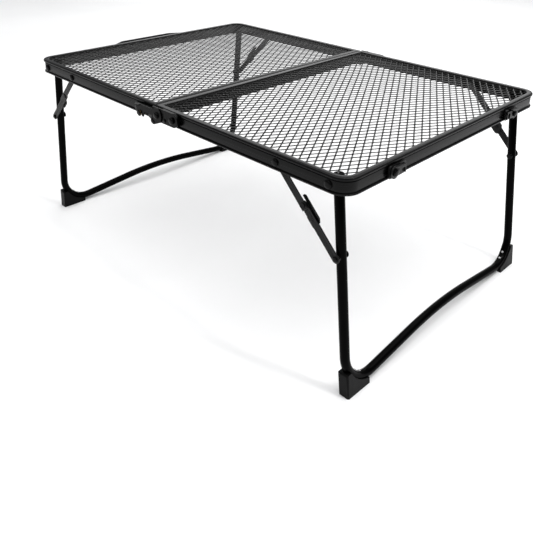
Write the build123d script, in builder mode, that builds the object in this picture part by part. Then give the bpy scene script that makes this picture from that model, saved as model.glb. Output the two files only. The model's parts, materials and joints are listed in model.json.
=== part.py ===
"""Folding mesh-top camping side table: two framed mesh halves hinged in the middle,
each with a splayed U-shaped tube leg frame held by two folding braces.

Millimetres, +Z up, origin on the floor under the centre hinge, X along the table, Y across it.
"""

import os
from math import atan2, cos, degrees, hypot, radians, sin

from build123d import *

# ---- table top -----------------------------------------------------------------------------
TABLE_LENGTH = 600.0
TABLE_WIDTH = 405.0
TABLE_HEIGHT = 260.0
CORNER_RADIUS = 20.0
HALF_GAP = 0.4  # each half stops this far from the middle plane
RAIL_HEIGHT = 19.0
RIM_WIDTH = 8.0
RIM_HEIGHT = 3.5
RIM_ROUND = 1.2
WEB_RECESS = 1.5
WEB_THICKNESS = 1.5
LIP_HEIGHT = 2.0
MESH_PITCH_X = 10.0  # short way of one diamond, along the table
MESH_PITCH_Y = 16.0  # long way, across it
MESH_STRAND = 1.4
MESH_THICKNESS = 1.5
MESH_BORDER = 1.0

HALF_LENGTH = TABLE_LENGTH / 2
HALF_WIDTH = TABLE_WIDTH / 2
RAIL_BOTTOM = TABLE_HEIGHT - RAIL_HEIGHT
RIM_BOTTOM = TABLE_HEIGHT - RIM_HEIGHT
WEB_OUTER = HALF_WIDTH - WEB_RECESS
WEB_INNER = WEB_OUTER - WEB_THICKNESS
MESH_BOTTOM = TABLE_HEIGHT - 1.0 - MESH_THICKNESS

# ---- centre hinge --------------------------------------------------------------------------
FOLD_AXIS_Z = RAIL_BOTTOM - 0.3
EAR_RADIUS = 5.0
EAR_START = 13.0  # where the left leaf starts to bulge down to its ear
HINGE_PIN_RADIUS = 2.0
HINGE_HEAD_RADIUS = 3.2
RUNNING_GAP = 0.05
LEAF_LEFT_LENGTH = 42.0
LEAF_LEFT_TOP = TABLE_HEIGHT - 4.5
LEAF_RIGHT_LENGTH = 49.0
LEAF_RIGHT_ROUND = 8.5
LEAF_BOTTOM = RAIL_BOTTOM + 1.0
LEAF_TOP = TABLE_HEIGHT - 0.5
PAD_START = 18.0
LEAF_RIVETS_LEFT = [(-36.5, 250.0), (-10.0, 250.0)]
LEAF_RIVETS_RIGHT = [(39.0, 250.5), (24.0, 246.5)]
LEAF_HEAD_RADIUS = 3.0
LAYER_A = (HALF_WIDTH, HALF_WIDTH + 2.0)
LAYER_B = (HALF_WIDTH + 2.3, HALF_WIDTH + 4.3)
LAYER_C = (HALF_WIDTH + 4.6, HALF_WIDTH + 5.9)

# ---- lock hooks across the hinge -------------------------------------------------------------
HOOK_PIVOT_X = 10.0
HOOK_PIVOT_Z = 250.0
HOOK_HUB = 9.5
HOOK_HEAD_RADIUS = 4.0
HOOK_TOP = 256.5
HOOK_ARM_HEIGHT = 8.5
JAW_HALF = 7.0
JAW_DROP = 3.5  # the jaw's tips reach this far below the stud's middle
NOTCH_HALF = 4.0
HOOK_TAB = (8.0, 5.0, 1.3)
STUD_X = -25.5
STUD_Z = 244.5
STUD_RADIUS = 3.0
STUD_HEAD_RADIUS = 4.0
STUD_SHANK = 1.5

# ---- closing latches on the right end rail ----------------------------------------------------
LATCH_Y = 130.0
LATCH_Z = 248.0
LATCH_REACH = 2 * (LATCH_Z - FOLD_AXIS_Z)
LATCH_PIN_RADIUS = 2.5
LATCH_PLATE = (HALF_LENGTH + 2.4, HALF_LENGTH + 4.0)
LATCH_BASE = (29.0, 14.0, 2.0)
LATCH_BASE_SHIFT = 6.5  # from the pivot to the middle of the base, towards the middle
LATCH_HUB = 7.0
LATCH_HEAD_RADIUS = 4.2
ARM_HALF = 5.0
ARM_END = 4.5  # the arm goes this far past the pin that it takes
NOTCH_CLEARANCE = 0.45
LATCH_TAB = (6.5, 13.5, 1.3)
LATCH_TAB_RISE = 5.2

# ---- carrying handle ----------------------------------------------------------------------------
HANDLE_HALF = 86.0
HANDLE_BOW = 12.0
HANDLE_WALL = 2.6
HANDLE_RIVET_Y = 78.0
HANDLE_BEND = 14.0

# ---- legs ------------------------------------------------------------------------------------
LEG_PIVOT_X = 276.5
PIVOT_Z = 249.0
SPLAY = 7.0
TUBE_RADIUS = 5.5
TUBE_WALL = 1.2
TUBE_END_V = 6.0  # the tubes end this far above their pivots, up the leg plane
LEG_Y = 185.0
LEG_SPREAD = 4.0  # each leg stands this much wider at the bottom
BEND_RADIUS = 40.0
CROSS_END_V = -247.5  # cross bar height at the leg line, down the leg plane
CROSS_RISE = 21.0
CROSS_RADIUS = 600.0
FOOT_THICKNESS = 14.0
FOOT_SIDE_Y = 193.5
FOOT_LENGTH = 38.0
FOOT_HEIGHT = 29.5
FOOT_ROUND = 2.0
SHOE_LIP = 2.0  # the shoe's sides stop this far outside the bend's middle line
LEG_RIVET_RADIUS = 2.5
LEG_SLEEVE_RADIUS = 3.4

# ---- braces ------------------------------------------------------------------------------------
BRACE_RAIL_ARM = 71.0  # leg pivot to brace pivot along the rail
BRACE_LEG_ARM = 82.0  # leg pivot to brace pivot down the leg
LINK_HALF_WIDTH = 4.5
UPPER_LAYER = (196.8, 198.2)
LOWER_LAYER = (194.9, 196.3)
CATCH_LAYER = (193.3, 194.5)
BRACE_RIVET_RADIUS = 2.0
CATCH_RIVET_RADIUS = 1.5
CATCH_OFFSET = 18.3  # brace joint to catch pivot along the lower link
SQUARE_END = 5.0  # the upper link goes this far past its joint

# The links fold flat on one line, so their lengths follow from the two arms.
brace_px = LEG_PIVOT_X - BRACE_RAIL_ARM
leg_end_x = LEG_PIVOT_X + BRACE_LEG_ARM * sin(radians(SPLAY))
leg_end_z = PIVOT_Z - BRACE_LEG_ARM * cos(radians(SPLAY))
brace_span = hypot(leg_end_x - brace_px, leg_end_z - PIVOT_Z)
brace_angle = degrees(atan2(leg_end_z - PIVOT_Z, leg_end_x - brace_px))
upper_length = (brace_span - (BRACE_LEG_ARM - BRACE_RAIL_ARM)) / 2
lower_length = brace_span - upper_length

foot_y = LEG_Y + LEG_SPREAD
brace_pin_y = LEG_Y + LEG_SPREAD * (TUBE_END_V + BRACE_LEG_ARM) / (TUBE_END_V - CROSS_END_V)

front_plane = Plane(origin=(0, 0, 0), x_dir=(1, 0, 0), z_dir=(0, -1, 0))
brace_plane = Plane(
    origin=(brace_px, 0, PIVOT_Z),
    x_dir=(cos(radians(brace_angle)), 0, sin(radians(brace_angle))),
    z_dir=(0, -1, 0),
)
leg_plane = Plane(
    origin=(LEG_PIVOT_X, 0, PIVOT_Z),
    x_dir=(0, 1, 0),
    z_dir=(cos(radians(SPLAY)), 0, sin(radians(SPLAY))),
)
end_plane = Plane(origin=(0, 0, 0), x_dir=(0, 1, 0), z_dir=(1, 0, 0))

os.makedirs("parts", exist_ok=True)


def save(piece, name):
    """Label one node and write its STEP file."""
    piece.label = name
    export_step(piece, f"parts/{name}.step")


def save_both_halves(piece, name):
    """Write the right-hand node and its mirror image on the left half."""
    save(piece, f"right_{name}")
    save(mirror(piece, about=Plane.YZ), f"left_{name}")


def save_four(piece, name):
    """Write one brace piece for all four legs."""
    back = mirror(piece, about=Plane.XZ)
    save(piece, f"right_front_{name}")
    save(back, f"right_back_{name}")
    save(mirror(piece, about=Plane.YZ), f"left_front_{name}")
    save(mirror(back, about=Plane.YZ), f"left_back_{name}")


def stepped_rivet(plane, steps):
    """Round rivet along a plane's normal: each step is (start, end, radius)."""
    with BuildPart() as rivet:
        for start, end, radius in steps:
            with BuildSketch(plane.offset(start)):
                Circle(radius)
            extrude(amount=end - start)
    return rivet.part


def front_spot(x, z):
    """Plane on the front side with its origin at a point, normal outwards (-Y)."""
    return Plane(origin=(x, 0, z), x_dir=(1, 0, 0), z_dir=(0, -1, 0))


def half_outline(inset):
    """Plan outline of the right half, inset all round, with the two outer corners rounded."""
    with BuildSketch() as plan:
        with Locations((HALF_GAP + inset, 0)):
            Rectangle(
                HALF_LENGTH - HALF_GAP - 2 * inset,
                TABLE_WIDTH - 2 * inset,
                align=(Align.MIN, Align.CENTER),
            )
        fillet(plan.vertices().group_by(Axis.X)[-1], CORNER_RADIUS - inset)
    return plan.sketch


# ---- rail frames -----------------------------------------------------------------------------
ring_layers = [
    (RIM_BOTTOM, TABLE_HEIGHT, 0.0, RIM_WIDTH),
    (RAIL_BOTTOM, RIM_BOTTOM, WEB_RECESS, WEB_RECESS + WEB_THICKNESS),
    (RAIL_BOTTOM, RAIL_BOTTOM + LIP_HEIGHT, 0.0, WEB_RECESS + WEB_THICKNESS),
]


def rail_frame(front_holes, end_holes):
    """Edge rail of one half: rolled rim, recessed web and bottom lip, all round."""
    with BuildPart() as frame:
        for bottom, top, outer, inner in ring_layers:
            with BuildSketch(Plane.XY.offset(bottom)):
                add(half_outline(outer))
                add(half_outline(inner), mode=Mode.SUBTRACT)
            extrude(amount=top - bottom)
        fillet(frame.edges().filter_by_position(Axis.Z, TABLE_HEIGHT, TABLE_HEIGHT), RIM_ROUND)
        for x, z, radius in front_holes:
            for side in (-1, 1):
                with Locations(Location((x, side * WEB_OUTER, z), (90, 0, 0))):
                    Cylinder(radius, 4 * WEB_THICKNESS, mode=Mode.SUBTRACT)
        for y, z, radius in end_holes:
            with Locations(Location((HALF_LENGTH - WEB_RECESS, y, z), (0, 90, 0))):
                Cylinder(radius, 4 * WEB_THICKNESS, mode=Mode.SUBTRACT)
    return frame.part


pivot_holes = [
    (LEG_PIVOT_X, PIVOT_Z, LEG_RIVET_RADIUS),
    (brace_px, PIVOT_Z, BRACE_RIVET_RADIUS),
]
end_pin_holes = [(side * LATCH_Y, LATCH_Z, BRACE_RIVET_RADIUS) for side in (-1, 1)]
handle_holes = [(side * HANDLE_RIVET_Y, LATCH_Z, BRACE_RIVET_RADIUS) for side in (-1, 1)]
right_holes = pivot_holes + [(x, z, CATCH_RIVET_RADIUS) for x, z in LEAF_RIVETS_RIGHT]
left_holes = pivot_holes + [(-x, z, CATCH_RIVET_RADIUS) for x, z in LEAF_RIVETS_LEFT]

save(rail_frame(right_holes, end_pin_holes), "right_rail_frame")
save(
    mirror(rail_frame(left_holes, end_pin_holes + handle_holes), about=Plane.YZ),
    "left_rail_frame",
)

# ---- expanded-metal panels ---------------------------------------------------------------------
# A flat sheet with two interleaved grids of diamond holes, drawn as one face with inner wires.
panel_length = HALF_LENGTH - HALF_GAP - 2 * RIM_WIDTH
panel_width = TABLE_WIDTH - 2 * RIM_WIDTH
panel_centre_x = HALF_GAP + RIM_WIDTH + panel_length / 2
columns = int((panel_length - 2 * MESH_BORDER) / MESH_PITCH_X)
rows = int((panel_width - 2 * MESH_BORDER) / MESH_PITCH_Y)
edge_distance = MESH_PITCH_X * MESH_PITCH_Y / 2 / hypot(MESH_PITCH_X, MESH_PITCH_Y)
hole_share = 1 - MESH_STRAND / 2 / edge_distance
half_x = MESH_PITCH_X / 2 * hole_share
half_y = MESH_PITCH_Y / 2 * hole_share

with BuildLine() as diamond:
    Polyline((-half_x, 0), (0, -half_y), (half_x, 0), (0, half_y), close=True)
diamond_wire = Wire(diamond.edges())

with Locations((panel_centre_x, 0, MESH_BOTTOM)):
    hole_spots = GridLocations(MESH_PITCH_X, MESH_PITCH_Y, columns, rows).locations
    hole_spots += GridLocations(MESH_PITCH_X, MESH_PITCH_Y, columns - 1, rows - 1).locations
panel_edge = half_outline(RIM_WIDTH).face().outer_wire().moved(Location((0, 0, MESH_BOTTOM)))
panel_face = Face(panel_edge, [diamond_wire.moved(spot) for spot in hole_spots])

with BuildPart() as mesh_panel:
    extrude(panel_face, amount=MESH_THICKNESS, dir=(0, 0, 1), clean=False)
save_both_halves(mesh_panel.part, "mesh_panel")

# ---- centre hinge leaves -----------------------------------------------------------------------
with BuildPart() as left_leaves:
    with BuildSketch(front_plane.offset(LAYER_A[0])) as leaf:
        with Locations((-LEAF_LEFT_LENGTH, LEAF_BOTTOM)):
            Rectangle(
                LEAF_LEFT_LENGTH - HALF_GAP,
                LEAF_LEFT_TOP - LEAF_BOTTOM,
                align=(Align.MIN, Align.MIN),
            )
        fillet(leaf.vertices().group_by(Axis.X)[0], 5.0)
        with Locations((0, FOLD_AXIS_Z)):
            Circle(EAR_RADIUS)
        with BuildLine():
            Polyline(
                (-EAR_START, LEAF_BOTTOM),
                (-3.0, FOLD_AXIS_Z - 3.0),
                (-1.0, FOLD_AXIS_Z),
                (-2.0, LEAF_BOTTOM + EAR_RADIUS),
                (-EAR_START, LEAF_BOTTOM + EAR_RADIUS),
                close=True,
            )
        make_face()
    extrude(amount=LAYER_A[1] - LAYER_A[0])
    for x, z in LEAF_RIVETS_LEFT:
        with Locations(Location((x, -LAYER_A[0], z), (90, 0, 0))):
            Cylinder(CATCH_RIVET_RADIUS, 10, mode=Mode.SUBTRACT)
    for x, z, radius in [(0, FOLD_AXIS_Z, HINGE_PIN_RADIUS), (STUD_X, STUD_Z, STUD_SHANK)]:
        with Locations(Location((x, -LAYER_A[0], z), (90, 0, 0))):
            Cylinder(radius, 10, mode=Mode.SUBTRACT)
    mirror(about=Plane.XZ)
save(left_leaves.part, "left_hinge_leaves")

with BuildPart() as right_leaves:
    with BuildSketch(front_plane.offset(LAYER_B[0])) as ear:
        with Locations((0, FOLD_AXIS_Z)):
            Circle(EAR_RADIUS)
        with Locations((HALF_GAP + 6.0, LEAF_BOTTOM)):
            Rectangle(10, 10, align=(Align.MIN, Align.MIN))
        make_hull()
        with Locations((HALF_GAP, LEAF_BOTTOM)):
            Rectangle(
                LEAF_RIGHT_LENGTH - HALF_GAP,
                LEAF_TOP - LEAF_BOTTOM,
                align=(Align.MIN, Align.MIN),
            )
        fillet(ear.vertices().group_by(Axis.X)[-1], LEAF_RIGHT_ROUND)
    extrude(amount=LAYER_B[1] - LAYER_B[0])
    with BuildSketch(front_plane.offset(LAYER_A[0])) as pad:
        with Locations((PAD_START, LEAF_BOTTOM)):
            Rectangle(
                LEAF_RIGHT_LENGTH - PAD_START,
                LEAF_TOP - LEAF_BOTTOM,
                align=(Align.MIN, Align.MIN),
            )
        fillet(pad.vertices().group_by(Axis.X)[-1], LEAF_RIGHT_ROUND)
    extrude(amount=LAYER_B[0] - LAYER_A[0])
    for x, z, radius in [
        (0, FOLD_AXIS_Z, HINGE_PIN_RADIUS + RUNNING_GAP),
        (HOOK_PIVOT_X, HOOK_PIVOT_Z, BRACE_RIVET_RADIUS),
        *((x, z, CATCH_RIVET_RADIUS) for x, z in LEAF_RIVETS_RIGHT),
    ]:
        with Locations(Location((x, -LAYER_B[0], z), (90, 0, 0))):
            Cylinder(radius, 12, mode=Mode.SUBTRACT)
    mirror(about=Plane.XZ)
save(right_leaves.part, "right_hinge_leaves")


def front_and_back(pieces):
    """Join front-side solids with their mirror images at the back into one node."""
    with BuildPart() as pair:
        for piece in pieces:
            add(piece)
        mirror(about=Plane.XZ)
    return pair.part


hinge_pin = stepped_rivet(
    front_spot(0, FOLD_AXIS_Z),
    [
        (LAYER_A[0], LAYER_B[1] + 0.3, HINGE_PIN_RADIUS),
        (LAYER_B[1] + 0.3, LAYER_B[1] + 1.1, HINGE_HEAD_RADIUS),
    ],
)
save(front_and_back([hinge_pin]), "hinge_pins")

leaf_fixings_left = [
    stepped_rivet(
        front_spot(x, z),
        [
            (WEB_INNER, LAYER_A[1], CATCH_RIVET_RADIUS),
            (LAYER_A[1], LAYER_A[1] + 0.8, LEAF_HEAD_RADIUS),
        ],
    )
    for x, z in LEAF_RIVETS_LEFT
]
save(front_and_back(leaf_fixings_left), "left_hinge_rivets")

leaf_fixings_right = [
    stepped_rivet(
        front_spot(x, z),
        [(WEB_INNER, LAYER_B[1], CATCH_RIVET_RADIUS), (LAYER_B[1], LAYER_B[1] + rise, radius)],
    )
    for (x, z), rise, radius in zip(LEAF_RIVETS_RIGHT, (2.0, 0.8), (4.0, 2.4))
]
save(front_and_back(leaf_fixings_right), "right_hinge_rivets")

catch_stud = stepped_rivet(
    front_spot(STUD_X, STUD_Z),
    [
        (LAYER_A[0], LAYER_A[1], STUD_SHANK),
        (LAYER_A[1], LAYER_C[1] + 0.4, STUD_RADIUS),
        (LAYER_C[1] + 0.4, LAYER_C[1] + 1.2, STUD_HEAD_RADIUS),
    ],
)
save(front_and_back([catch_stud]), "catch_studs")

hook_pivot = stepped_rivet(
    front_spot(HOOK_PIVOT_X, HOOK_PIVOT_Z),
    [
        (LAYER_A[0], LAYER_C[1] + 0.3, BRACE_RIVET_RADIUS),
        (LAYER_C[1] + 0.3, LAYER_C[1] + 1.3, HOOK_HEAD_RADIUS),
    ],
)
save(front_and_back([hook_pivot]), "hook_pivots")

# ---- lock hooks ----------------------------------------------------------------------------------
with BuildPart() as hook:
    with BuildSketch(front_plane.offset(LAYER_C[0])) as plate:
        with BuildLine():
            Polyline(
                (HOOK_PIVOT_X, HOOK_TOP),
                (STUD_X - JAW_HALF, HOOK_TOP),
                (STUD_X - JAW_HALF, STUD_Z - JAW_DROP),
                (STUD_X + JAW_HALF, STUD_Z - JAW_DROP),
                (STUD_X + JAW_HALF + 3, HOOK_TOP - HOOK_ARM_HEIGHT),
                (HOOK_PIVOT_X, HOOK_TOP - HOOK_ARM_HEIGHT),
                close=True,
            )
        make_face()
        fillet(plate.vertices().sort_by(Axis.X)[0:2], 2.0)
        with Locations((HOOK_PIVOT_X, HOOK_PIVOT_Z)):
            Circle(HOOK_HUB)
        with Locations((STUD_X, STUD_Z)):
            Circle(NOTCH_HALF, mode=Mode.SUBTRACT)
            Rectangle(2 * NOTCH_HALF, 10, align=(Align.CENTER, Align.MAX), mode=Mode.SUBTRACT)
        with Locations((HOOK_PIVOT_X, HOOK_PIVOT_Z)):
            Circle(BRACE_RIVET_RADIUS + RUNNING_GAP, mode=Mode.SUBTRACT)
    extrude(amount=LAYER_C[1] - LAYER_C[0])
    with BuildSketch(Plane.XY.offset(HOOK_TOP - HOOK_TAB[2])) as tab:
        with Locations((STUD_X - 1.5, -LAYER_C[0])):
            Rectangle(HOOK_TAB[0], HOOK_TAB[1], align=(Align.CENTER, Align.MAX))
        fillet(tab.vertices().group_by(Axis.Y)[0], 2.0)
    extrude(amount=HOOK_TAB[2])
save(hook.part, "front_lock_hook")
save(mirror(hook.part, about=Plane.XZ), "back_lock_hook")

# ---- latches, their bases and pins --------------------------------------------------------------
with BuildPart() as latch_bases:
    with BuildSketch(end_plane.offset(HALF_LENGTH)):
        for side in (-1, 1):
            with Locations((side * (LATCH_Y - LATCH_BASE_SHIFT), LATCH_Z + 0.5)):
                RectangleRounded(LATCH_BASE[0], LATCH_BASE[1], 3)
        for side in (-1, 1):
            with Locations((side * LATCH_Y, LATCH_Z)):
                Circle(BRACE_RIVET_RADIUS, mode=Mode.SUBTRACT)
    extrude(amount=LATCH_BASE[2])
save(latch_bases.part, "latch_bases")

latch_pivot_steps = [
    (HALF_LENGTH - WEB_RECESS - WEB_THICKNESS, LATCH_PLATE[1] + 0.3, BRACE_RIVET_RADIUS),
    (LATCH_PLATE[1] + 0.3, LATCH_PLATE[1] + 1.5, LATCH_HEAD_RADIUS),
]
catch_pin_steps = [
    (HALF_LENGTH - WEB_RECESS - WEB_THICKNESS, HALF_LENGTH, BRACE_RIVET_RADIUS),
    (HALF_LENGTH, HALF_LENGTH + 1.8, 5.0),
    (HALF_LENGTH + 1.8, LATCH_PLATE[1] + 0.4, LATCH_PIN_RADIUS),
    (LATCH_PLATE[1] + 0.4, LATCH_PLATE[1] + 1.6, LATCH_HEAD_RADIUS),
]


def end_pair(steps, y, z):
    """Two stepped rivets in the end rail, one at each side of the middle."""
    spot = Plane(origin=(0, -y, z), x_dir=(0, 1, 0), z_dir=(1, 0, 0))
    return front_and_back([stepped_rivet(spot, steps)])


save(end_pair(latch_pivot_steps, LATCH_Y, LATCH_Z), "latch_pivots")
save(mirror(end_pair(catch_pin_steps, LATCH_Y, LATCH_Z), about=Plane.YZ), "catch_pins")

latch_notch = LATCH_PIN_RADIUS + NOTCH_CLEARANCE
latch_plane = Plane(origin=(LATCH_PLATE[0], -LATCH_Y, LATCH_Z), x_dir=(0, 1, 0), z_dir=(1, 0, 0))
with BuildPart() as latch:
    with BuildSketch(latch_plane) as plate:
        Circle(LATCH_HUB)
        Rectangle(LATCH_REACH + ARM_END, 2 * ARM_HALF, align=(Align.MIN, Align.CENTER))
        fillet(plate.vertices().group_by(Axis.Y)[-1], 1.2)
        with Locations((-3.0, 0)):
            Rectangle(
                LATCH_TAB[1],
                LATCH_TAB_RISE + LATCH_TAB[2],
                align=(Align.MIN, Align.MIN),
            )
        with Locations((LATCH_REACH, 0)):
            Circle(latch_notch, mode=Mode.SUBTRACT)
            Rectangle(2 * latch_notch, 12, align=(Align.CENTER, Align.MAX), mode=Mode.SUBTRACT)
        Circle(BRACE_RIVET_RADIUS + RUNNING_GAP, mode=Mode.SUBTRACT)
    extrude(amount=LATCH_PLATE[1] - LATCH_PLATE[0])
    with BuildSketch(Plane.XY.offset(LATCH_Z + LATCH_TAB_RISE)) as tab:
        with Locations((LATCH_PLATE[0], -LATCH_Y - 3.0)):
            Rectangle(LATCH_TAB[0], LATCH_TAB[1], align=(Align.MIN, Align.MIN))
        fillet(tab.vertices().group_by(Axis.X)[-1], 2.5)
    extrude(amount=LATCH_TAB[2])
save(latch.part, "front_latch")
save(mirror(latch.part, about=Plane.XZ), "back_latch")

# ---- carrying handle ------------------------------------------------------------------------------
handle_x = -HALF_LENGTH - HANDLE_WALL / 2
with BuildPart() as handle:
    with BuildSketch(Plane.XY.offset(RAIL_BOTTOM + 1.0)):
        with BuildLine() as strap:
            Polyline(
                (handle_x, -HANDLE_HALF),
                (handle_x, -HANDLE_HALF + 18),
                (handle_x - HANDLE_BOW, -HANDLE_HALF + 38),
                (handle_x - HANDLE_BOW, HANDLE_HALF - 38),
                (handle_x, HANDLE_HALF - 18),
                (handle_x, HANDLE_HALF),
            )
            fillet(strap.vertices().sort_by(Axis.Y)[1:-1], HANDLE_BEND)
        trace(line_width=HANDLE_WALL)
    extrude(amount=LEAF_TOP - RAIL_BOTTOM - 1.5)
    for y, z, radius in handle_holes:
        with Locations(Location((handle_x, y, z), (0, 90, 0))):
            Cylinder(radius, 3 * HANDLE_WALL, mode=Mode.SUBTRACT)
save(handle.part, "carry_handle")
handle_rivet_steps = [
    (HALF_LENGTH - WEB_RECESS - WEB_THICKNESS, HALF_LENGTH + HANDLE_WALL, BRACE_RIVET_RADIUS),
    (HALF_LENGTH + HANDLE_WALL, HALF_LENGTH + HANDLE_WALL + 1.2, 4.2),
]
save(mirror(end_pair(handle_rivet_steps, HANDLE_RIVET_Y, LATCH_Z), about=Plane.YZ), "handle_rivets")

# ---- leg frames -----------------------------------------------------------------------------------
with BuildPart() as leg_frame:
    with BuildLine(leg_plane) as tube_path:
        Polyline(
            (-LEG_Y, TUBE_END_V),
            (-foot_y, CROSS_END_V),
            (0, CROSS_END_V + CROSS_RISE),
            (foot_y, CROSS_END_V),
            (LEG_Y, TUBE_END_V),
        )
        fillet(tube_path.vertices().group_by(Axis.Z)[0], BEND_RADIUS)
        fillet(tube_path.vertices().sort_by_distance((LEG_PIVOT_X + 30, 0, 25))[0], CROSS_RADIUS)
    with BuildSketch(Plane(origin=tube_path.line @ 0, z_dir=tube_path.line % 0)):
        Circle(TUBE_RADIUS)
        Circle(TUBE_RADIUS - TUBE_WALL, mode=Mode.SUBTRACT)
    sweep()
    for side in (-1, 1):
        with Locations(Location((LEG_PIVOT_X, side * LEG_Y, PIVOT_Z), (90, 0, 0))):
            Cylinder(LEG_RIVET_RADIUS + RUNNING_GAP, 3 * TUBE_RADIUS, mode=Mode.SUBTRACT)
        with Locations(Location((leg_end_x, side * LEG_Y, leg_end_z), (90, 0, 0))):
            Cylinder(BRACE_RIVET_RADIUS, 3 * TUBE_RADIUS, mode=Mode.SUBTRACT)
save_both_halves(leg_frame.part, "leg_frame")

# Corner shoes fill the outside of each bottom bend and stand flat on the floor.
floor_v = -PIVOT_Z / cos(radians(SPLAY))
leg_angle = atan2(TUBE_END_V - CROSS_END_V, LEG_SPREAD)
cross_angle = atan2(CROSS_RISE, foot_y)
centre_distance = BEND_RADIUS / sin((leg_angle - cross_angle) / 2)
centre_angle = (leg_angle + cross_angle) / 2
bend_centre = (
    -foot_y + centre_distance * cos(centre_angle),
    CROSS_END_V + centre_distance * sin(centre_angle),
)
with BuildPart() as shoes:
    with BuildSketch(leg_plane.offset(-FOOT_THICKNESS / 2)):
        with Locations((-FOOT_SIDE_Y, floor_v - 3.0)):
            Rectangle(FOOT_LENGTH, FOOT_HEIGHT + 3.0, align=(Align.MIN, Align.MIN))
        with Locations(bend_centre):
            Circle(BEND_RADIUS + SHOE_LIP, mode=Mode.SUBTRACT)
    extrude(amount=FOOT_THICKNESS)
    fillet(shoes.edges().filter_by(Axis.Z, reverse=True).group_by(Axis.Y)[0], FOOT_ROUND)
    with BuildSketch(Plane(origin=tube_path.line @ 0, z_dir=tube_path.line % 0)):
        Circle(TUBE_RADIUS)
    sweep(path=tube_path.line, mode=Mode.SUBTRACT)
    with Locations((LEG_PIVOT_X + 30, -LEG_Y, 0)):
        Box(100, 200, 30, align=(Align.CENTER, Align.CENTER, Align.MAX), mode=Mode.SUBTRACT)
    mirror(about=Plane.XZ)
save_both_halves(shoes.part, "foot_shoes")

tube_outer = LEG_Y + TUBE_RADIUS
tube_inner = LEG_Y - TUBE_RADIUS
pin_outer = brace_pin_y + TUBE_RADIUS
pin_inner = brace_pin_y - TUBE_RADIUS
leg_rivet = stepped_rivet(
    front_spot(LEG_PIVOT_X, PIVOT_Z),
    [
        (tube_inner - 1.5, tube_inner - 0.3, 4.2),
        (tube_inner - 0.3, tube_outer + 0.35, LEG_RIVET_RADIUS),
        (tube_outer + 0.35, WEB_INNER, LEG_SLEEVE_RADIUS),
        (WEB_INNER, WEB_OUTER, LEG_RIVET_RADIUS),
        (WEB_OUTER, WEB_OUTER + 1.2, 4.8),
    ],
)
save_both_halves(front_and_back([leg_rivet]), "leg_pivots")

brace_rivet = stepped_rivet(
    front_spot(brace_px, PIVOT_Z),
    [
        (UPPER_LAYER[0], UPPER_LAYER[1] + 0.3, BRACE_RIVET_RADIUS),
        (UPPER_LAYER[1] + 0.3, WEB_INNER, 4.5),
        (WEB_INNER, WEB_OUTER, BRACE_RIVET_RADIUS),
        (WEB_OUTER, WEB_OUTER + 1.2, 4.2),
    ],
)
save_both_halves(front_and_back([brace_rivet]), "brace_rail_pivots")

leg_pin = stepped_rivet(
    front_spot(leg_end_x, leg_end_z),
    [
        (pin_inner - 1.2, pin_inner - 0.2, 4.2),
        (pin_inner - 0.2, pin_outer, BRACE_RIVET_RADIUS),
        (pin_outer, LOWER_LAYER[0] - 0.3, 4.0),
        (LOWER_LAYER[0] - 0.3, LOWER_LAYER[1] + 0.3, BRACE_RIVET_RADIUS),
        (LOWER_LAYER[1] + 0.3, LOWER_LAYER[1] + 1.0, 3.2),
    ],
)
save_both_halves(front_and_back([leg_pin]), "brace_leg_pins")

# ---- brace links -----------------------------------------------------------------------------------
with BuildPart() as upper_link:
    with BuildSketch(brace_plane.offset(UPPER_LAYER[0])):
        Circle(LINK_HALF_WIDTH)
        Rectangle(
            upper_length + SQUARE_END,
            2 * LINK_HALF_WIDTH,
            align=(Align.MIN, Align.CENTER),
        )
        Circle(BRACE_RIVET_RADIUS + RUNNING_GAP, mode=Mode.SUBTRACT)
        with Locations((upper_length, 0)):
            Circle(BRACE_RIVET_RADIUS, mode=Mode.SUBTRACT)
    extrude(amount=UPPER_LAYER[1] - UPPER_LAYER[0])
save_four(upper_link.part, "upper_link")

joint_plane = brace_plane.shift_origin(brace_plane.from_local_coords(Vector(upper_length, 0, 0)))
upper_rivet = stepped_rivet(
    joint_plane,
    [(*UPPER_LAYER, BRACE_RIVET_RADIUS), (UPPER_LAYER[1], UPPER_LAYER[1] + 1.0, 3.4)],
)
save_four(upper_rivet, "brace_joint_head")

with BuildPart() as lower_link:
    with BuildSketch(joint_plane.offset(LOWER_LAYER[0])):
        with Locations((lower_length / 2, 0)):
            SlotCenterToCenter(lower_length, 2 * (LINK_HALF_WIDTH + 0.3))
        Circle(BRACE_RIVET_RADIUS, mode=Mode.SUBTRACT)
        with Locations((lower_length, 0)):
            Circle(BRACE_RIVET_RADIUS + RUNNING_GAP, mode=Mode.SUBTRACT)
        with Locations((CATCH_OFFSET, 0)):
            Circle(CATCH_RIVET_RADIUS, mode=Mode.SUBTRACT)
    extrude(amount=LOWER_LAYER[1] - LOWER_LAYER[0])
save_four(lower_link.part, "lower_link")

catch_plane = joint_plane.shift_origin(joint_plane.from_local_coords(Vector(CATCH_OFFSET, 0, 0)))
lower_rivet = stepped_rivet(
    joint_plane,
    [(LOWER_LAYER[0] - 0.8, LOWER_LAYER[0], 3.2), (*LOWER_LAYER, BRACE_RIVET_RADIUS)],
)
catch_rivet = stepped_rivet(
    catch_plane,
    [
        (CATCH_LAYER[0] - 0.8, CATCH_LAYER[0] - 0.3, 2.6),
        (CATCH_LAYER[0] - 0.3, LOWER_LAYER[1], CATCH_RIVET_RADIUS),
    ],
)
with BuildPart() as lower_rivets:
    add(lower_rivet)
    add(catch_rivet)
save_four(lower_rivets.part, "lower_link_rivets")

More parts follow.
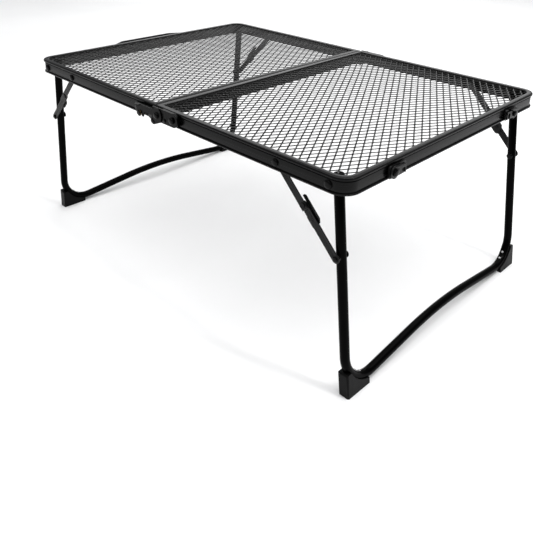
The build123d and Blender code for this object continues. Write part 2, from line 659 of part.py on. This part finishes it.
# The spring catch: an arm along the leg side of the joint and a thumb lobe on the other side.
with BuildPart() as catch:
    with BuildSketch(catch_plane.offset(CATCH_LAYER[0])) as lever:
        with Locations((0, -2.6)):
            SlotCenterToCenter(9.0, 10.0)
        with BuildLine():
            Polyline(
                (6.0, 0),
                (6.0, 5.0),
                (2.0, 8.2),
                (-CATCH_OFFSET - 7.0, 8.2),
                (-CATCH_OFFSET - 9.0, 6.6),
                (-CATCH_OFFSET - 9.0, 3.8),
                (-7.0, 3.8),
                (-7.0, -2.0),
                close=True,
            )
        make_face()
        Circle(CATCH_RIVET_RADIUS + RUNNING_GAP, mode=Mode.SUBTRACT)
    extrude(amount=CATCH_LAYER[1] - CATCH_LAYER[0])
save_four(catch.part, "brace_catch")

print(f"brace angle {brace_angle:.3f} upper {upper_length:.2f} lower {lower_length:.2f}")
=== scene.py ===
"""Looks for the folding camping side table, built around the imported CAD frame.

Lengths in this file are millimetres in the row frame unless a name ends in _M; put() turns them
into metres. X runs along the table, -Y is the near long side, Z is up.
"""

import json
from math import atan2, ceil, cos, hypot, pi, radians, sin, tan

import bpy
from mathutils import Matrix, Vector


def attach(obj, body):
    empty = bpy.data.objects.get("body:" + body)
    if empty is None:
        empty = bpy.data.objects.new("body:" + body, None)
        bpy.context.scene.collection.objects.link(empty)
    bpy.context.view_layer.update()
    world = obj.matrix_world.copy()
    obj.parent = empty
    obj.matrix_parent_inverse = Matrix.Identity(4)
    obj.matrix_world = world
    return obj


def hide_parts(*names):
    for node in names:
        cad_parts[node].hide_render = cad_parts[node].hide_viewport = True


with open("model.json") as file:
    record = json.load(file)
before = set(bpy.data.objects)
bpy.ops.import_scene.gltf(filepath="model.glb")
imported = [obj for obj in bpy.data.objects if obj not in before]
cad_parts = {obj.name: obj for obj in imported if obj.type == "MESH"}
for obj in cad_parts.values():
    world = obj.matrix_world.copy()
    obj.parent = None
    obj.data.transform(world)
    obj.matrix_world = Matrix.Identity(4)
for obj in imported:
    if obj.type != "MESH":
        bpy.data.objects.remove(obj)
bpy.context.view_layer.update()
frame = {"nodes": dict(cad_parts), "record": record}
MM = 0.001

# ---- sizes shared with the CAD frame ---------------------------------------------------------
HALF_LENGTH = 300.0
HALF_WIDTH = 202.5
TOP = 260.0
RAIL_BOTTOM = 241.0
CORNER_RADIUS = 20.0
HALF_GAP = 0.4
RIM_WIDTH = 7.7
LEG_PIVOT = (276.5, 249.0)
SPLAY = radians(7.0)
LEG_Y = 185.0
LEG_SPREAD = 4.0
FOOT_Y = LEG_Y + LEG_SPREAD
TUBE_RADIUS = 5.5
BRACE_PIVOT_X = 205.5
BRACE_LEG_ARM = 82.0  # from the leg pivot down the tube to the brace pin
BRACE_PIN = (LEG_PIVOT[0] + BRACE_LEG_ARM * sin(SPLAY), LEG_PIVOT[1] - BRACE_LEG_ARM * cos(SPLAY))
HINGE_PIN = (0.0, 240.7)
HOOK_PIVOT = (10.0, 250.0)
CATCH_STUD = (25.5, 244.5)
LATCH_Y = 130.0
LATCH_Z = 248.0
HANDLE_RIVET_Y = 78.0

# ---- expanded metal ----------------------------------------------------------------------------
DIAMOND_X = 10.0  # short way of one diamond, along the table
DIAMOND_Y = 16.0  # long way, across it
STRAND_WIDTH = 1.5
STRAND_THICKNESS = 0.9
STRAND_TILT = radians(32.0)
NODE_SWELL = 1.35
MESH_MIDDLE_Z = 258.3
MESH_TUCK = 7.3  # the strands end this far in from the outer edge, inside the rim


# ---- materials ---------------------------------------------------------------------------------
def coated(name, dark, light, rough, spread, grain, bump, cloud=45.0, stretch=(1, 1, 1),
           specular=0.5, metallic=0.0, detail=3.0):
    """Procedural finish: clouded colour and roughness, and a fine grain in the normal."""
    mat = bpy.data.materials.new(name)
    mat.use_nodes = True
    nodes = mat.node_tree.nodes
    link = mat.node_tree.links.new
    shader = nodes["Principled BSDF"]
    shader.inputs["Metallic"].default_value = metallic
    shader.inputs["Specular IOR Level"].default_value = specular
    place = nodes.new("ShaderNodeTexCoord")
    scale = nodes.new("ShaderNodeMapping")
    scale.inputs["Scale"].default_value = stretch
    link(place.outputs["Object"], scale.inputs["Vector"])
    clouds = nodes.new("ShaderNodeTexNoise")
    clouds.inputs["Scale"].default_value = cloud
    clouds.inputs["Detail"].default_value = detail
    link(scale.outputs["Vector"], clouds.inputs["Vector"])
    ramp = nodes.new("ShaderNodeValToRGB")
    ramp.color_ramp.elements[0].position = 0.35
    ramp.color_ramp.elements[0].color = (*dark, 1)
    ramp.color_ramp.elements[1].position = 0.65
    ramp.color_ramp.elements[1].color = (*light, 1)
    link(clouds.outputs["Fac"], ramp.inputs["Fac"])
    link(ramp.outputs["Color"], shader.inputs["Base Color"])
    rough_map = nodes.new("ShaderNodeMapRange")
    rough_map.inputs["From Min"].default_value = 0.3
    rough_map.inputs["From Max"].default_value = 0.7
    rough_map.inputs["To Min"].default_value = rough - spread
    rough_map.inputs["To Max"].default_value = rough + spread
    link(clouds.outputs["Fac"], rough_map.inputs["Value"])
    link(rough_map.outputs["Result"], shader.inputs["Roughness"])
    grains = nodes.new("ShaderNodeTexNoise")
    grains.inputs["Scale"].default_value = grain
    grains.inputs["Detail"].default_value = 2.0
    link(place.outputs["Object"], grains.inputs["Vector"])
    relief = nodes.new("ShaderNodeBump")
    relief.inputs["Strength"].default_value = bump
    relief.inputs["Distance"].default_value = 0.0002
    link(grains.outputs["Fac"], relief.inputs["Height"])
    link(relief.outputs["Normal"], shader.inputs["Normal"])
    return mat


def grey(value, warm=0.0):
    return (value * (1 + warm), value, value * (1 - warm))


RAIL = coated("rail_paint", grey(0.0006), grey(0.005), 0.24, 0.07, 900, 0.10,
              cloud=6.0, stretch=(1, 1, 90), specular=0.13, detail=4.0)
# Darker, duller copy of the rail paint for the rails' inner faces: painted shade, not a different
# coat.
RAIL_INSIDE_PAINTED_SHADE = coated("rail_inside_painted_shade", grey(0.0006), grey(0.0016), 0.45, 0.08, 900, 0.12,
                     specular=0.05)
STEEL_MESH = coated("mesh_paint", grey(0.001), grey(0.003), 0.30, 0.07, 1400, 0.18,
                    specular=0.24)
TUBE = coated("tube_paint", grey(0.0003), grey(0.0008), 0.12, 0.03, 700, 0.03, specular=0.03)
LINK = coated("link_paint", grey(0.001), grey(0.004), 0.28, 0.08, 1100, 0.12, specular=0.20)
PLATE = coated("plate_paint", grey(0.0006), grey(0.002), 0.28, 0.09, 1000, 0.12, specular=0.08)
LEAF = coated("leaf_paint", grey(0.004), grey(0.014), 0.28, 0.08, 1000, 0.12, specular=0.30)
LATCH = coated("latch_paint", grey(0.002), grey(0.006), 0.28, 0.08, 1000, 0.12, specular=0.22)
RIVET = coated("rivet_steel", grey(0.0006), grey(0.0016), 0.18, 0.06, 1300, 0.08, specular=0.12)
# Bright steel for the small heads in the bottom bends: a painted highlight for the glint there.
SHOE_GLINT_STEEL = coated("shoe_glint_steel", grey(0.35), grey(0.50), 0.32, 0.08, 1200, 0.10, metallic=1.0)
BRASS = coated("stud_brass", (0.10, 0.07, 0.03), (0.18, 0.12, 0.05), 0.34, 0.08, 1200, 0.10,
               metallic=1.0)
SHOE = coated("shoe_plastic", grey(0.0006), grey(0.0016), 0.42, 0.06, 1800, 0.35, specular=0.09)
HANDLE = coated("handle_plastic", grey(0.004), grey(0.008), 0.46, 0.06, 1800, 0.40,
                specular=0.3)
FLOOR = coated("studio_floor", grey(0.90), grey(0.94), 0.85, 0.05, 60, 0.02, cloud=2.0,
               specular=0.2)

BY_SLOT = {
    "rail_paint": RAIL, "mesh_paint": STEEL_MESH, "tube_paint": TUBE, "link_paint": LINK,
    "hinge_plate": PLATE, "latch_plate": LATCH, "rivet": RIVET, "stud_brass": BRASS,
    "handle_plastic": HANDLE, "shoe_plastic": SHOE,
}


# ---- mesh helpers --------------------------------------------------------------------------------
def put(name, points, faces, body, slot, flip=1, sharp=38.0, nodes=()):
    """New piece from millimetre points; flip=-1 mirrors it onto the left half."""
    if flip < 0:
        points = [(-x, y, z) for x, y, z in points]
        faces = [tuple(reversed(face)) for face in faces]
    mesh = bpy.data.meshes.new(name)
    mesh.from_pydata([(x * MM, y * MM, z * MM) for x, y, z in points], [], faces)
    mesh.validate()
    mesh.polygons.foreach_set("use_smooth", [True] * len(mesh.polygons))
    mesh.set_sharp_from_angle(angle=radians(sharp))
    mesh.materials.append(BY_SLOT[slot])
    piece = bpy.data.objects.new(name, mesh)
    bpy.context.scene.collection.objects.link(piece)
    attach(piece, body)
    if nodes:
        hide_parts(*nodes)
    return piece


def add_grid(points, faces, rings, close_ends=False, caps=False):
    """Skin closed rings of equal length into the running point and face lists."""
    start = len(points)
    count = len(rings[0])
    for ring in rings:
        points.extend(tuple(p) for p in ring)
    bands = len(rings) if close_ends else len(rings) - 1
    for i in range(bands):
        j = (i + 1) % len(rings)
        for a in range(count):
            b = (a + 1) % count
            faces.append((start + i * count + a, start + i * count + b,
                          start + j * count + b, start + j * count + a))
    if caps:
        faces.append(tuple(start + k for k in reversed(range(count))))
        faces.append(tuple(start + (len(rings) - 1) * count + k for k in range(count)))


def rounded(corners, radii, steps=4):
    """Closed polygon with each corner rounded to its own radius."""
    out = []
    total = len(corners)
    for i, radius in enumerate(radii):
        here = Vector(corners[i])
        before = (Vector(corners[i - 1]) - here).normalized()
        after = (Vector(corners[(i + 1) % total]) - here).normalized()
        if radius <= 0:
            out.append(tuple(here))
            continue
        half = before.angle(after) / 2
        reach = radius / tan(half)
        centre = here + (before + after).normalized() * radius / sin(half)
        first = here + before * reach - centre
        last = here + after * reach - centre
        turn = first.angle_signed(last)
        for k in range(steps + 1):
            out.append(tuple(centre + Matrix.Rotation(-turn * k / steps, 2) @ first))
    return out


# ---- edge rails ----------------------------------------------------------------------------------
CORNER_STEPS = 14
WEB_MIDDLE = 2.5  # profile points further in than this are on the inner side of the web
RIM_MIDDLE_Z = 257.0
RAIL_PROFILE = rounded(
    # inward distance from the outer edge, height
    [(0.0, TOP), (0.0, 256.8), (2.3, 256.4), (2.3, 255.3), (1.5, 254.9), (1.5, 243.7),
     (2.1, 243.3), (0.0, 242.9), (0.0, RAIL_BOTTOM), (3.0, RAIL_BOTTOM), (3.0, 256.4),
     (RIM_WIDTH, 256.4), (RIM_WIDTH, TOP)],
    [1.5, 0.5, 0.3, 0.3, 0.3, 0.3, 0.1, 0.4, 0.4, 0.3, 0.0, 0.5, 1.1],
    steps=3,
)


def outline_stations():
    """Outer edge of the right half in plan: (x, y, inward x, inward y), mitred at the hinge."""
    stations = [(HALF_GAP, -HALF_WIDTH, 1.0, 1.0)]
    middle_x = HALF_LENGTH - CORNER_RADIUS
    for side, start in ((-1, -pi / 2), (1, 0.0)):
        for k in range(CORNER_STEPS + 1):
            turn = start + k * pi / 2 / CORNER_STEPS
            stations.append((middle_x + CORNER_RADIUS * cos(turn),
                             side * (HALF_WIDTH - CORNER_RADIUS) + CORNER_RADIUS * sin(turn),
                             -cos(turn), -sin(turn)))
    stations.append((HALF_GAP, HALF_WIDTH, 1.0, -1.0))
    return stations


def rails(name, flip, body, node):
    """One bent edge rail; its inner faces get a darker, duller copy of the paint as painted shade.
    """
    points, faces = [], []
    rings = [
        [(x + n * inward_x, y + n * inward_y, z) for n, z in RAIL_PROFILE]
        for x, y, inward_x, inward_y in outline_stations()
    ]
    add_grid(points, faces, rings, close_ends=True)
    faces = [tuple(reversed(face)) for face in faces]
    piece = put(name, points, faces, body, "rail_paint", flip, nodes=[node])
    piece.data.materials.append(RAIL_INSIDE_PAINTED_SHADE)
    count = len(RAIL_PROFILE)
    # Inner faces of the web below the rim take the darker copy: painted shade.
    for face in piece.data.polygons:
        ends = (RAIL_PROFILE[face.index % count], RAIL_PROFILE[(face.index + 1) % count])
        if min(n for n, z in ends) > WEB_MIDDLE and max(z for n, z in ends) < RIM_MIDDLE_Z:
            face.material_index = 1
    return piece


rails("right_rail", 1, "right_half", "right_rail_frame")
rails("left_rail", -1, "left_half", "left_rail_frame")


# ---- expanded-metal panels ----------------------------------------------------------------------
PANEL_X = (HALF_GAP + MESH_TUCK, HALF_LENGTH - MESH_TUCK)
PANEL_Y = HALF_WIDTH - MESH_TUCK
PANEL_CORNER = CORNER_RADIUS - MESH_TUCK
PANEL_MIDDLE_X = (HALF_GAP + HALF_LENGTH) / 2


def outside(x, y):
    """Signed distance out of the panel, whose two outer corners are rounded."""
    dx = max(PANEL_X[0] - x, x - PANEL_X[1])
    dy = abs(y) - PANEL_Y
    if x < PANEL_MIDDLE_X:
        return max(dx, dy)
    ax, ay = dx + PANEL_CORNER, dy + PANEL_CORNER
    return min(max(ax, ay), 0.0) + hypot(max(ax, 0.0), max(ay, 0.0)) - PANEL_CORNER


def cut_at_edge(inner, outer):
    """Point between the two where the panel's edge is."""
    low, high = 0.0, 1.0
    for _ in range(12):
        mid = (low + high) / 2
        x = inner[0] + (outer[0] - inner[0]) * mid
        y = inner[1] + (outer[1] - inner[1]) * mid
        if outside(x, y) < 0:
            low = mid
        else:
            high = mid
    return (inner[0] + (outer[0] - inner[0]) * low, inner[1] + (outer[1] - inner[1]) * low)


def strand(points, faces, a, b, whole_a, whole_b, lean):
    """One strand between two bonds: a flat bar on edge, swelling into the bonds."""
    run = Vector((b[0] - a[0], b[1] - a[1], 0))
    if run.length < 0.4:
        return
    along = run.normalized()
    side = Vector((along.y, -along.x, 0))
    if side.x < 0:
        side = -side
    # All strands lean the same way, their upper faces turned towards the handle end.
    wide = side * cos(STRAND_TILT) + Vector((0, 0, lean * sin(STRAND_TILT)))
    thick = Vector((0, 0, cos(STRAND_TILT))) - side * lean * sin(STRAND_TILT)
    rings = []
    for share, swell in ((0.0, NODE_SWELL if whole_a else 1.0), (0.14, 1.0), (0.86, 1.0),
                         (1.0, NODE_SWELL if whole_b else 1.0)):
        centre = Vector((a[0], a[1], MESH_MIDDLE_Z)) + run * share
        w = wide * STRAND_WIDTH / 2 * swell
        t = thick * STRAND_THICKNESS / 2 * (1 + (swell - 1) * 0.5)
        rings.append([centre - w - t, centre + w - t, centre + w + t, centre - w + t])
    if wide.cross(thick).dot(along) < 0:
        rings.reverse()
    add_grid(points, faces, rings, caps=True)


def expanded_metal(name, flip, body, node):
    """One panel of diamonds, each bond joined to the next two by strands."""
    points, faces = [], []
    lean = flip  # mirroring turns it back
    step_x, step_y = DIAMOND_X / 2, DIAMOND_Y / 2
    columns = int(HALF_LENGTH / 2 / step_x) + 2
    rows = int(HALF_WIDTH / step_y) + 2
    for i in range(-columns, columns + 1):
        for j in range(-rows, rows + 1):
            if (i + j) % 2:
                continue
            a = (PANEL_MIDDLE_X + i * step_x, j * step_y)
            for turn in (-1, 1):
                b = (a[0] + step_x, a[1] + turn * step_y)
                in_a, in_b = outside(*a) < 0, outside(*b) < 0
                if in_a and in_b:
                    strand(points, faces, a, b, True, True, lean)
                elif in_a:
                    strand(points, faces, a, cut_at_edge(a, b), True, False, lean)
                elif in_b:
                    strand(points, faces, cut_at_edge(b, a), b, False, True, lean)
    return put(name, points, faces, body, "mesh_paint", flip, sharp=30.0, nodes=[node])


expanded_metal("right_expanded_mesh", 1, "right_half", "right_mesh_panel")
expanded_metal("left_expanded_mesh", -1, "left_half", "left_mesh_panel")


# ---- leg tubes -----------------------------------------------------------------------------------
BEND_RADIUS = 40.0
CROSS_END = -247.5
CROSS_RISE = 21.0
CROSS_RADIUS = 600.0
TUBE_TOP = 6.0
TUBE_SIDES = 28


def leg_point(y, v, out=0.0):
    """Point of the leaning leg plane: v up along it from the pivot, out along its normal."""
    return Vector((LEG_PIVOT[0] - v * sin(SPLAY) + out * cos(SPLAY), y,
                   LEG_PIVOT[1] + v * cos(SPLAY) + out * sin(SPLAY)))


def rounded_line(corners, radii, step):
    """Open line through 2-D corners, each rounded, with points a step apart on the bends."""
    out = [Vector(corners[0])]
    for i in range(1, len(corners) - 1):
        here = Vector(corners[i])
        before = (Vector(corners[i - 1]) - here).normalized()
        after = (Vector(corners[i + 1]) - here).normalized()
        half = before.angle(after) / 2
        radius = radii[i - 1]
        centre = here + (before + after).normalized() * radius / sin(half)
        first = here + before * radius / tan(half) - centre
        last = here + after * radius / tan(half) - centre
        turn = first.angle_signed(last)
        count = max(2, ceil(abs(turn) * radius / step))
        for k in range(count + 1):
            out.append(centre + Matrix.Rotation(-turn * k / count, 2) @ first)
    out.append(Vector(corners[-1]))
    return out


def leg_tube(name, flip, body, node):
    """One U-shaped leg frame with its two open ends plugged."""
    line = rounded_line(
        [(-LEG_Y, TUBE_TOP), (-FOOT_Y, CROSS_END), (0, CROSS_END + CROSS_RISE),
         (FOOT_Y, CROSS_END), (LEG_Y, TUBE_TOP)],
        [BEND_RADIUS, CROSS_RADIUS, BEND_RADIUS],
        3.0,
    )
    rings = []
    for k, here in enumerate(line):
        along = line[min(k + 1, len(line) - 1)] - line[max(k - 1, 0)]
        along.normalize()
        across = Vector((-along.y, along.x))
        ring = []
        for s in range(TUBE_SIDES):
            turn = 2 * pi * s / TUBE_SIDES
            spot = here + across * TUBE_RADIUS * cos(turn)
            ring.append(leg_point(spot.x, spot.y, TUBE_RADIUS * sin(turn)))
        rings.append(ring)
    points, faces = [], []
    # The open ends are closed by small domed plugs.
    lift = leg_point(0, 1) - leg_point(0, 0)
    for end in (0, -1):
        centre = sum(rings[end], Vector()) / TUBE_SIDES
        extra = []
        for share, rise in ((0.97, 0.5), (0.80, 1.3), (0.45, 1.9), (0.02, 2.1)):
            extra.append([centre + (p - centre) * share + lift * rise for p in rings[end]])
        if end == 0:
            rings = list(reversed(extra)) + rings
        else:
            rings = rings + extra
    add_grid(points, faces, rings, caps=True)
    faces = [tuple(reversed(face)) for face in faces]
    return put(name, points, faces, body, "tube_paint", flip, sharp=50.0, nodes=[node])


leg_tube("right_leg_tube", 1, "right_legs", "right_leg_frame")
leg_tube("left_leg_tube", -1, "left_legs", "left_leg_frame")

# ---- domed rivet heads ---------------------------------------------------------------------------
DOME_SIDES = 24
# Rivets of the hinge leaves: distance from the hinge, height, foot of the dome, radius, rise.
RIGHT_LEAF_RIVETS = [(39.0, 250.5, 208.8, 4.0, 1.1), (24.0, 246.5, 207.6, 2.4, 0.6)]
LEFT_LEAF_RIVETS = [(36.5, 250.0, 205.3, 3.0, 0.8), (10.0, 250.0, 205.3, 3.0, 0.8)]


def dome(points, faces, base, axis, radius, height):
    """Shallow dome with a small shoulder, standing on the flat head of a CAD rivet."""
    axis = Vector(axis)
    first = axis.orthogonal().normalized()
    second = axis.cross(first)
    rings = []
    for share, rise in ((1.0, -0.15), (0.99, 0.08), (0.93, 0.35), (0.78, 0.68), (0.55, 0.88),
                        (0.28, 0.98), (0.03, 1.0)):
        centre = Vector(base) + axis * (rise * height if rise > 0 else rise)
        rings.append([centre + (first * cos(2 * pi * k / DOME_SIDES)
                                + second * sin(2 * pi * k / DOME_SIDES)) * radius * share
                      for k in range(DOME_SIDES)])
    add_grid(points, faces, rings, caps=True)


def domes(name, body, spots, flip=1, slot="rivet"):
    points, faces = [], []
    for base, axis, radius, height in spots:
        dome(points, faces, base, axis, radius, height)
    return put(name, points, faces, body, slot, flip, sharp=60.0)


def both_sides(x, z, base, radius, height, inward=False):
    """The same head on the near and the far long side."""
    turn = -1 if inward else 1
    return [((x, side * base, z), (0, side * turn, 0), radius, height) for side in (-1, 1)]


def end_pair(y, foot, radius, height):
    """The same head on both sides of the middle of an end rail."""
    return [((foot, side * y, LATCH_Z), (1, 0, 0), radius, height) for side in (-1, 1)]


shared_heads = (both_sides(*LEG_PIVOT, 202.2, 4.8, 1.3)
                + both_sides(BRACE_PIVOT_X, LEG_PIVOT[1], 202.2, 4.2, 1.2)
                + both_sides(*LEG_PIVOT, 178.0, 4.2, 1.0, inward=True))
right_heads = shared_heads + both_sides(*HOOK_PIVOT, 209.7, 4.0, 1.3)
for rivet in RIGHT_LEAF_RIVETS:
    right_heads += both_sides(*rivet)
right_heads += end_pair(LATCH_Y, 305.5, 4.2, 1.2)
left_heads = (shared_heads + both_sides(*HINGE_PIN, 207.9, 3.2, 0.9)
              + both_sides(*CATCH_STUD, 209.6, 4.0, 1.0))
for rivet in LEFT_LEAF_RIVETS:
    left_heads += both_sides(*rivet)
left_heads += end_pair(LATCH_Y, 305.6, 4.2, 1.0) + end_pair(HANDLE_RIVET_Y, 303.8, 4.2, 1.0)
domes("right_half_rivet_domes", "right_half", right_heads)
domes("left_half_rivet_domes", "left_half", left_heads, flip=-1)
for half, flip in (("right", 1), ("left", -1)):
    domes(f"{half}_leg_rivet_domes", f"{half}_legs",
          both_sides(*BRACE_PIN, 197.3, 3.2, 0.9)
          + both_sides(*BRACE_PIN, 179.7, 4.2, 1.1, inward=True), flip)

# Small heads inside each bottom bend, in bright bare steel: a painted highlight for the glint on
# the bend.
LEG_ANGLE = atan2(TUBE_TOP - CROSS_END, LEG_SPREAD)
CROSS_ANGLE = atan2(CROSS_RISE, FOOT_Y)
CENTRE_REACH = BEND_RADIUS / sin((LEG_ANGLE - CROSS_ANGLE) / 2)
CENTRE_ANGLE = (LEG_ANGLE + CROSS_ANGLE) / 2
BEND_Y = FOOT_Y - CENTRE_REACH * cos(CENTRE_ANGLE)
BEND_V = CROSS_END + CENTRE_REACH * sin(CENTRE_ANGLE)
shoe_glint_heads = []
reach = BEND_RADIUS - TUBE_RADIUS
for side in (-1, 1):
    for turn in (radians(45), radians(62)):
        base = leg_point(side * (BEND_Y + reach * cos(turn)), BEND_V - reach * sin(turn))
        inward = (leg_point(-side * cos(turn), sin(turn)) - leg_point(0, 0)).normalized()
        shoe_glint_heads.append((base, inward, 1.7, 0.8))
for half, flip in (("right", 1), ("left", -1)):
    heads = domes(f"{half}_shoe_glint_domes", f"{half}_legs", shoe_glint_heads, flip)
    # The bright steel on these heads is a painted highlight.
    heads.data.materials[0] = SHOE_GLINT_STEEL

# ---- finishes and softened edges on the CAD nodes that stay --------------------------------------
SHOWN_WIDTH = {
    "shoe_plastic": 1.0, "handle_plastic": 0.8, "hinge_plate": 0.35, "latch_plate": 0.35,
    "link_paint": 0.35, "rivet": 0.35, "stud_brass": 0.3,
}
for entry in frame["record"]["subparts"]:
    node = frame["nodes"][entry["node"]]
    slot = entry["material_slot"]
    node.data.materials.clear()
    node.data.materials.append(LEAF if entry["node"] == "left_hinge_leaves" else BY_SLOT[slot])
    if node.hide_render:
        continue
    weld = node.modifiers.new("weld", "WELD")
    weld.merge_threshold = 1e-6
    soften = node.modifiers.new("soften", "BEVEL")
    soften.width = SHOWN_WIDTH[slot] * MM
    soften.segments = 2
    soften.limit_method = "ANGLE"
    soften.angle_limit = radians(40)
    soften.harden_normals = True

# ---- studio --------------------------------------------------------------------------------------
bpy.ops.mesh.primitive_plane_add(size=14, location=(0, 0, 0))
floor = bpy.context.object
floor.name = "studio_floor"
floor.data.materials.append(FLOOR)

world = bpy.data.worlds.new("studio")
bpy.context.scene.world = world
bpy.context.scene.view_settings.view_transform = "Standard"
world.use_nodes = True
world.node_tree.nodes["Background"].inputs["Color"].default_value = (0.97, 0.98, 1.0, 1)
world.node_tree.nodes["Background"].inputs["Strength"].default_value = 0.34


def softbox(name, place, aim, size, power):
    lamp = bpy.data.lights.new(name, "AREA")
    lamp.shape = "RECTANGLE"
    lamp.size, lamp.size_y = size
    lamp.energy = power
    light = bpy.data.objects.new(name, lamp)
    bpy.context.scene.collection.objects.link(light)
    light.location = place
    light.rotation_mode = "QUATERNION"
    light.rotation_quaternion = (Vector(aim) - Vector(place)).to_track_quat("-Z", "Y")


softbox("overhead", (0.1, 0.2, 2.4), (0, 0, 0.2), (3.6, 3.6), 84)
softbox("behind", (-1.5, 1.9, 1.0), (0, 0, 0.25), (2.4, 1.2), 11)
softbox("strip", (0.9, 0.1, 1.9), (0.3, 0, 0.0), (0.012, 1.6), 12)

# ---- camera --------------------------------------------------------------------------------------
CAMERA_PLACE = (618.4, -619.9, 510.8)
AZIMUTH, ELEVATION, ROLL = radians(43.81), radians(24.24), radians(1.09)
back = Vector((sin(AZIMUTH) * cos(ELEVATION), -cos(AZIMUTH) * cos(ELEVATION), sin(ELEVATION)))
level_right = Vector((cos(AZIMUTH), sin(AZIMUTH), 0))
level_up = back.cross(level_right)
right = level_right * cos(ROLL) + level_up * sin(ROLL)
up = level_up * cos(ROLL) - level_right * sin(ROLL)
lens = bpy.data.cameras.new("photo_view")
lens.lens = 42.62
lens.sensor_width = 36.0
lens.shift_x = -0.031
lens.shift_y = -0.190
lens.clip_start = 0.01
camera = bpy.data.objects.new("photo_view", lens)
bpy.context.scene.collection.objects.link(camera)
camera.matrix_world = Matrix((
    (right.x, up.x, back.x, CAMERA_PLACE[0] * MM),
    (right.y, up.y, back.y, CAMERA_PLACE[1] * MM),
    (right.z, up.z, back.z, CAMERA_PLACE[2] * MM),
    (0, 0, 0, 1),
))
bpy.context.scene.camera = camera
